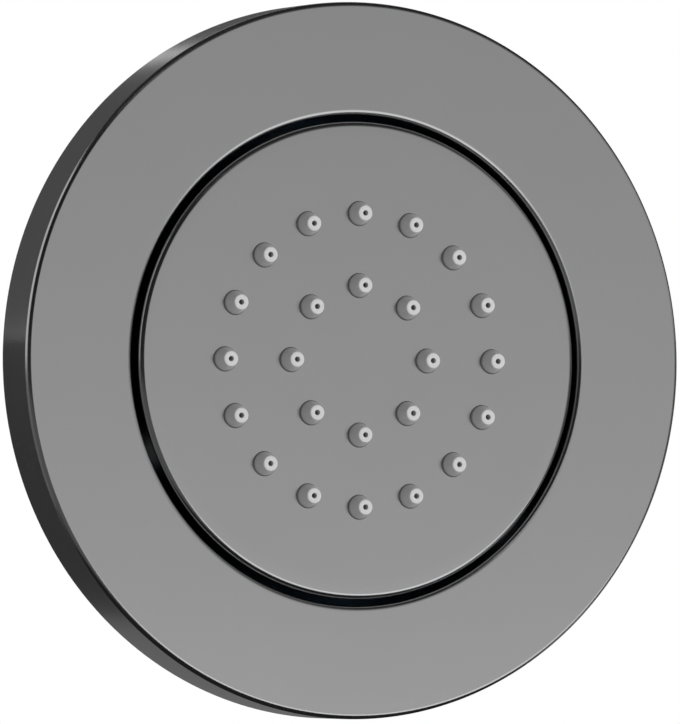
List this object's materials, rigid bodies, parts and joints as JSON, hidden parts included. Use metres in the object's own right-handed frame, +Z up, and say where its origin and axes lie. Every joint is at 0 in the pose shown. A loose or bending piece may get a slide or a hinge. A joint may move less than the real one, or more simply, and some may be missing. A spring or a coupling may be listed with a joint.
{
  "type": "shower body jet",
  "caption": "Flush round wall body jet with rings of soft nozzles on a spray head that tilts and turns on a ball inside a wide flange, with a recessed body and pipe inlet behind.",
  "frame": {"origin": "centre of the flange on the finished wall plane", "axes": "-Y out of the wall into the room, +Y into the wall, +X right and +Z up as seen from the room"},
  "size_m": [0.12, 0.0599, 0.12],
  "materials": {
    "gunmetal": "satin dark grey plating on metal",
    "silicone": "soft matt moulded silicone",
    "black_plastic": "moulded, fine texture",
    "grey_plastic": "moulded, ribbed",
    "cup_plastic": "moulded, matt",
    "nickel": "nickel plated, turned",
    "brass": "turned",
    "black_rubber": "moulded",
    "foam": "closed cell foam",
    "fibre": "pressed fibre",
    "low_friction": "smooth, ivory",
    "blue_plastic": "moulded"
  },
  "bodies": {
    "wall_body": {"flange": "gunmetal", "flange_oring": "black_rubber", "wall_seal": "foam", "recess_cup": "cup_plastic", "inlet_body": "brass", "inlet_washer": "fibre", "inlet_locknut": "brass", "flow_regulator": "blue_plastic", "regulator_oring": "black_rubber", "inlet_filter": "black_rubber", "ball_stem": "nickel", "stem_oring": "black_rubber"},
    "front_seat": {"front_ball_seat": "low_friction"},
    "rear_seat": {"rear_ball_seat": "low_friction"},
    "spray_head": {"ball_seal": "black_rubber", "ball_nut": "nickel", "spray_housing": "black_plastic", "chamber_oring": "black_rubber", "mat_retainer": "grey_plastic", "nozzle_mat": "silicone", "face_plate": "gunmetal"}
  },
  "joints": [
    {"name": "tilt_up_down", "type": "hinge", "parent": "wall_body", "child": "front_seat", "pos_m": [0, 0.00192, 0], "axis": [1, 0, 0], "range_deg": [-8, 8]},
    {"name": "tilt_left_right", "type": "hinge", "parent": "front_seat", "child": "rear_seat", "pos_m": [0, 0.00192, 0], "axis": [0, 0, 1], "range_deg": [-8, 8]},
    {"name": "head_spin", "type": "hinge", "parent": "rear_seat", "child": "spray_head", "pos_m": [0, 0.00192, 0], "axis": [0, 1, 0], "continuous": true}
  ]
}
